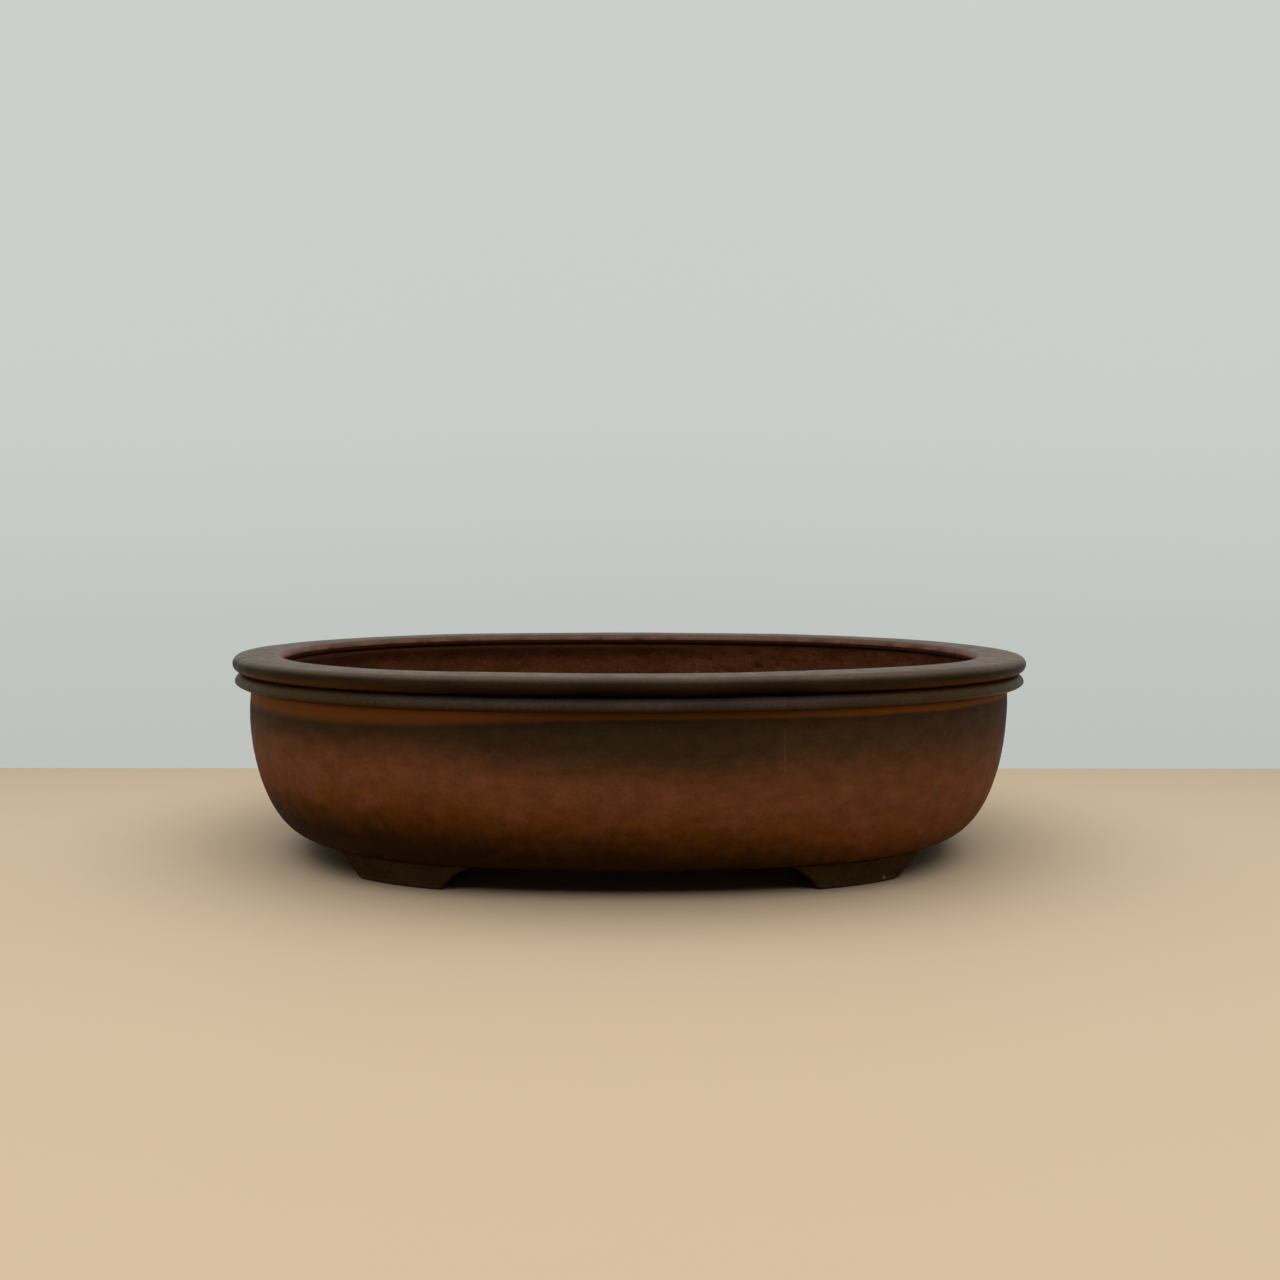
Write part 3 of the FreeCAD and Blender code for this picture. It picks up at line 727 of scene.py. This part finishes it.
def belt_section():
    groove = np.array((GROOVE_INSET, LIP_BOTTOM + GROOVE_RISE))
    foot = np.array((WALL_TOP_INSET, BELT_BOTTOM))
    seat = WALL_TOP_INSET + BELT_SEAT
    upper = cubic(groove, groove + GROOVE_PULL, BELT_NOSE + NOSE_PULL_UP, BELT_NOSE, 20)
    lower = cubic(BELT_NOSE, BELT_NOSE + NOSE_PULL_DOWN, foot + FOOT_PULL, foot, 18)
    return joined(
        upper,
        lower,
        line(foot, (seat, BELT_BOTTOM), 3),
        line((seat, BELT_BOTTOM), (seat, LIP_BOTTOM), 4),
        line((seat, LIP_BOTTOM), groove, 3),
    )


def belt_relief(co, section):
    shown = ease(section[:, 0], 8.0, 5.5)
    return shown * (0.14 * noise(co, (38, 38, 10), seed=41) + 0.04 * noise(co, 4, 43, 2))


def coil_section():
    """The coil's hollow face, and behind it a back that stays buried in the wall and floor."""
    corner = np.array((MITRE_INSET, FLOOR_TOP))
    on_floor = corner + (COIL_REACH_FLOOR, 0)
    on_wall = (MITRE_INSET - COIL_TOP_INSET, COIL_TOP)
    in_floor = corner + COIL_IN_FLOOR
    in_wall = corner + COIL_IN_WALL
    return joined(
        cubic(on_wall, corner + COIL_WALL_PULL, corner + COIL_FLOOR_PULL, on_floor, 26),
        line(on_floor, in_floor, 6),
        line(in_floor, in_wall, 4),
        line(in_wall, on_wall, 4),
    )[::-1]


def coil_relief(co, section):
    """Finger marks pressed along the coil."""
    inset, height = section[:, 0], section[:, 1]
    shown = ease(inset, 29.5, 31.5) * ease(height, FLOOR_TOP - 0.2, FLOOR_TOP + 0.6)
    marks = 0.45 * noise(co, (11, 11, 40), seed=47) + 0.15 * noise(co, 3.5, seed=53, octaves=2)
    return shown * marks


# ---------------------------------------------------------------- pieces made from CAD shapes
def remeshed(name, node, cell, relief, material, soften=2):
    """A copy of a CAD node as an even fine mesh with softened edges and modelled relief."""
    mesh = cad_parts[node].data.copy()
    bm = bmesh.new()
    bm.from_mesh(mesh)
    bmesh.ops.remove_doubles(bm, verts=bm.verts, dist=1e-6)
    bm.to_mesh(mesh)
    bm.free()
    rough = bpy.data.objects.new(name + "_rough", mesh)
    bpy.context.scene.collection.objects.link(rough)
    voxels = rough.modifiers.new("voxels", "REMESH")
    voxels.mode = "VOXEL"
    voxels.voxel_size = cell * MM
    smooth = rough.modifiers.new("soften", "SMOOTH")
    smooth.factor = 0.5
    smooth.iterations = soften
    graph = bpy.context.evaluated_depsgraph_get()
    fine = bpy.data.meshes.new_from_object(rough.evaluated_get(graph))
    bpy.data.objects.remove(rough)
    co = np.empty(len(fine.vertices) * 3)
    fine.vertices.foreach_get("co", co)
    co = co.reshape(-1, 3) / MM
    normal = np.empty(len(fine.vertices) * 3)
    fine.vertices.foreach_get("normal", normal)
    co = co + normal.reshape(-1, 3) * relief(co)[:, None]
    co = settle(co)
    fine.vertices.foreach_set("co", (co * MM).ravel())
    fine.name = name
    fine.materials.clear()
    fine.materials.append(material)
    fine.shade_smooth()
    obj = bpy.data.objects.new(name, fine)
    bpy.context.scene.collection.objects.link(obj)
    dress(obj, node)


def foot_relief(co):
    """Hand-cut faces: shallow dents, sandy grain, and nothing pushed below the table."""
    relief = 0.14 * noise(co, 9, seed=61, octaves=2) + 0.05 * noise(co, 1.6, seed=67, octaves=2)
    return relief * ease(co[:, 2], 0.3, 2.0)


def floor_relief(co):
    top = co[:, 2] > (FLOOR_BOTTOM + FLOOR_TOP) / 2
    relief = 0.25 * noise(co, 28, seed=71) + 0.16 * noise(co, (7, 4, 4), seed=73, octaves=3)
    pits = pocks(co, 6.0, 79, 0.35, 0.12, 0.3)
    across = np.abs(co[:, 0])
    past_end = across - END_CENTRE * (across > END_CENTRE)
    inside = ease(np.hypot(past_end, co[:, 1]), 100, 92)  # fades out short of the slab's edge
    return np.where(top, inside * (relief * 0.6 - 0.4 * pits), 0.35 * relief * inside)


def plain(co):
    return np.zeros(len(co))


# ---------------------------------------------------------------- clips
def clip_half_path(low, high):
    """The wire's axis over the origin, from the clip's middle out to the end of one leg, between
    the heights of its foot (low) and of the strand that passes over (high)."""
    table = high - CLIP_LOOP_LIFT
    leg, bend = CLIP_LEG_X, CLIP_BEND_RADIUS
    share = np.linspace(0, 1, 41)
    turn = 2 * math.pi * share
    quarter = np.linspace(0, math.pi / 2, 9)
    flat = np.zeros(9)
    loop = [
        CLIP_LOOP_X + CLIP_LOOP_RADIUS * np.sin(turn),
        -CLIP_LOOP_RADIUS * (1 - np.cos(turn)),
        high - CLIP_LOOP_LIFT * (share - np.sin(turn) / (2 * math.pi)),
    ]
    down = [leg - bend * (1 - np.sin(quarter)), flat, table - bend * (1 - np.cos(quarter))]
    out = [leg + bend * (1 - np.cos(quarter)), flat, low + bend * (1 - np.sin(quarter))]
    return np.concatenate(
        [
            line((0, 0, high), (CLIP_LOOP_X, 0, high), 7)[:-1],
            np.stack(loop, axis=1),
            [((CLIP_LOOP_X + leg - bend) / 2, 0, table)],
            np.stack(down, axis=1),
            line((leg, 0, table - bend), (leg, 0, low + bend), 6)[1:-1],
            np.stack(out, axis=1),
            line((leg + bend, 0, low), (leg + CLIP_FOOT_LENGTH, 0, low), 6)[1:],
        ]
    )


def clip_path(node, mirror):
    """The bent wire's axis in the part's frame, end to end. The right clip mirrors the left one."""
    lowest, highest = (np.array(corner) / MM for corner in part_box(node))
    half = clip_half_path(lowest[2] + WIRE_RADIUS, highest[2] - WIRE_RADIUS)
    other = half[:0:-1] * (-1, -1, 1)
    path = np.concatenate([other, half]) * (mirror, 1, 1)
    return path + ((lowest[0] + highest[0]) / 2, 0, 0)


def tube(name, path, radius, sides, material, node):
    """A round wire along a path, with slightly rounded cut ends."""
    ahead = np.gradient(path, axis=0)
    ahead = ahead / np.linalg.norm(ahead, axis=1, keepdims=True)
    side = np.cross(ahead[0], (0, 1, 0))
    rings = []
    for k, (p, t) in enumerate(zip(path, ahead)):
        side = side - t * side.dot(t)
        side = side / np.linalg.norm(side)
        other = np.cross(t, side)
        for j in range(sides):
            a = 2 * math.pi * j / sides
            rings.append(p + radius * (math.cos(a) * side + math.sin(a) * other))
    rings = np.array(rings)
    n = len(path)
    faces = []
    for i in range(n - 1):
        for j in range(sides):
            k = (j + 1) % sides
            a = i * sides
            faces.append((a + j, a + k, a + sides + k, a + sides + j))
    caps = []
    for end, t, first in ((0, -ahead[0], 0), (n - 1, ahead[-1], (n - 1) * sides)):
        ring = [first + j for j in range(sides)]
        inner_start = len(rings) + len(caps)
        for j in ring:
            caps.append(path[end] + (rings[j] - path[end]) * 0.75 + t * 0.12)
        inner = [inner_start + j for j in range(sides)]
        for j in range(sides):
            k = (j + 1) % sides
            quad = (ring[j], ring[k], inner[k], inner[j])
            faces.append(quad if end else quad[::-1])
        faces.append(tuple(inner) if end else tuple(reversed(inner)))
    verts = np.concatenate([rings, np.array(caps)])
    make_object(name, verts, faces, material, node)


# ---------------------------------------------------------------- build
wall_material = wall_clay()
inside_material = inner_clay("rough_inner_clay")
coil_material = inner_clay("coil_clay", 0.9)
rim_material = burnished("burnished_rim_clay", rim_colour, 0.02, 0.36, 0.48)
belt_material = burnished("belt_clay", belt_colour, 0.025, 0.40, 0.52)

wall = ring(wall_section(), WALL_STATIONS, wall_relief, wall_material, "bowl_wall", "clay_body")
wall.data.materials.append(inside_material)
ring(lip_section(), RIM_STATIONS, lip_relief, rim_material, "rim_lip", "clay_rim")
ring(belt_section(), RIM_STATIONS, belt_relief, belt_material, "belt_band", "clay_rim")
ring(coil_section(), COIL_STATIONS, coil_relief, coil_material, "seam_coil", "clay_inside")

foot_material = foot_clay()
for side in ("front_left", "front_right", "back_left", "back_right"):
    foot = side + "_foot"
    remeshed(foot + "_clay", foot, FOOT_CELL, foot_relief, foot_material)
remeshed(
    "floor_slab_clay", "floor_slab", FLOOR_CELL, floor_relief, inside_material, 1
)

net_material = net_plastic()
wire_material = clip_wire()
for side, mirror in (("left", 1), ("right", -1)):
    screen = side + "_drain_screen"
    remeshed(side + "_drain_net", screen, NET_CELL, plain, net_material)
    clip = side + "_screen_clip"
    path = clip_path(clip, mirror)
    tube(side + "_clip_wire", path, WIRE_RADIUS, 14, wire_material, clip)

# the wall's inner face gets the rough clay: every face that looks into the bowl
for polygon in wall.data.polygons:
    centre = polygon.center
    flat = Vector((centre.x, centre.y, 0))
    if polygon.normal.dot(flat) < 0 and centre.z / MM > FLOOR_TOP:
        polygon.material_index = 1


# ---------------------------------------------------------------- studio
FLOOR_COLOUR = (0.60, 0.47, 0.33)
WALL_COLOUR = (0.94, 1.0, 0.97)
WALL_PAINT = (0.03, 0.03, 0.03)
WALL_GLOW = (0.52, 0.60)  # at the table and at GLOW_TOP
GLOW_TOP = 260
ROOM_LIGHT = 0.03
ROOM_SEEN = 0.57
FAR = 2600.0
WALL_Y = 201.0
WALL_HEIGHT = 700.0
LAMP_PLACE = (0, -0.45, 1.5)
LAMP_AIM = (0, -0.45, 0)
LAMP_SIZE = (3.0, 2.6)
LAMP_WATTS = 49
LAMP_COLOUR = (1.0, 0.98, 0.95)


def sheet(name, corners, material):
    """One flat rectangle of the studio."""
    mesh = bpy.data.meshes.new(name)
    mesh.from_pydata([tuple(v * MM for v in corner) for corner in corners], [], [(0, 1, 2, 3)])
    mesh.materials.append(material)
    obj = bpy.data.objects.new(name, mesh)
    bpy.context.scene.collection.objects.link(obj)


def see_through_from_behind(g):
    """Makes a finished material clear on its back, so that the pot shows past it."""
    output = next(n for n in g.tree.nodes if n.type == "OUTPUT_MATERIAL")
    shader = output.inputs[0].links[0].from_socket
    clear = g.add("ShaderNodeBsdfTransparent")
    chosen = g.add("ShaderNodeMixShader")
    behind = g.add("ShaderNodeNewGeometry").outputs["Backfacing"]
    for socket, value in zip(chosen.inputs, (behind, shader, clear.outputs[0])):
        g.tree.links.new(value, socket)
    g.tree.links.new(chosen.outputs[0], output.inputs[0])


def studio():
    """A pale floor, and close behind the pot a pale wall that shows only from the front."""
    g = Graph("pale_floor")
    grain = g.ease(g.noise(14, detail=4), 0.3, 0.7, 0.58, 0.64)
    paper = g.finish(FLOOR_COLOUR, grain, Specular_IOR_Level=0.1)
    see_through_from_behind(g)
    sheet("floor", [(-FAR, -FAR, 0), (FAR, -FAR, 0), (FAR, FAR, 0), (-FAR, FAR, 0)], paper)
    g = Graph("pale_wall")
    glow = g.ease(g.z, 0, GLOW_TOP, *WALL_GLOW)
    paint = g.finish(WALL_PAINT, 0.9, Emission_Color=WALL_COLOUR, Emission_Strength=glow)
    see_through_from_behind(g)
    foot = [(-FAR, WALL_Y, 0), (FAR, WALL_Y, 0)]
    sheet("wall", [*foot, (FAR, WALL_Y, WALL_HEIGHT), (-FAR, WALL_Y, WALL_HEIGHT)], paint)


def room():
    """Faint cool light from all round. The camera alone sees it as pale as the wall."""
    world = bpy.data.worlds.new("room")
    world.use_nodes = True
    tree = world.node_tree
    background = tree.nodes["Background"]
    background.inputs["Color"].default_value = (*WALL_COLOUR, 1)
    strength = tree.nodes.new("ShaderNodeMix")
    strength.inputs[2].default_value = ROOM_LIGHT
    strength.inputs[3].default_value = ROOM_SEEN
    seen = tree.nodes.new("ShaderNodeLightPath").outputs["Is Camera Ray"]
    tree.links.new(seen, strength.inputs[0])
    tree.links.new(strength.outputs[0], background.inputs["Strength"])
    bpy.context.scene.world = world


def soft_light(name, place, aim, size, watts, colour):
    """A rectangular lamp at a place, turned to face a point."""
    data = bpy.data.lights.new(name, "AREA")
    data.shape = "RECTANGLE"
    data.size, data.size_y = size
    data.energy = watts
    data.color = colour
    obj = bpy.data.objects.new(name, data)
    obj.location = Vector(place)
    obj.rotation_mode = "QUATERNION"
    obj.rotation_quaternion = (Vector(aim) - obj.location).to_track_quat("-Z", "Y")
    bpy.context.scene.collection.objects.link(obj)


studio()
room()
soft_light("overhead", LAMP_PLACE, LAMP_AIM, LAMP_SIZE, LAMP_WATTS, LAMP_COLOUR)
bpy.context.scene.view_settings.view_transform = "Standard"


# a phone's eye view: near table height, 0.63 m in front of the pot's middle
CAMERA_PLACE = (-0.0042, -0.6276, 0.1342)  # metres
YAW_DEG = 0.798  # to the right
PITCH_DEG = 3.751  # down
ROLL_DEG = 0.158
LENS_MM = 37.84
SENSOR_MM = 36


def camera():
    yaw, pitch, roll = (math.radians(v) for v in (YAW_DEG, PITCH_DEG, ROLL_DEG))
    forward = Vector(
        (math.sin(yaw) * math.cos(pitch), math.cos(yaw) * math.cos(pitch), -math.sin(pitch))
    )
    level = Vector((math.cos(yaw), -math.sin(yaw), 0))
    upright = level.cross(forward)
    right = level * math.cos(roll) + upright * math.sin(roll)
    above = right.cross(forward)
    axes = Matrix((right, above, -forward)).transposed()
    data = bpy.data.cameras.new("camera")
    data.sensor_width = SENSOR_MM
    data.lens = LENS_MM
    data.clip_start = 0.01
    obj = bpy.data.objects.new("camera", data)
    obj.matrix_world = Matrix.Translation(CAMERA_PLACE) @ axes.to_4x4()
    bpy.context.scene.collection.objects.link(obj)
    bpy.context.scene.camera = obj


camera()
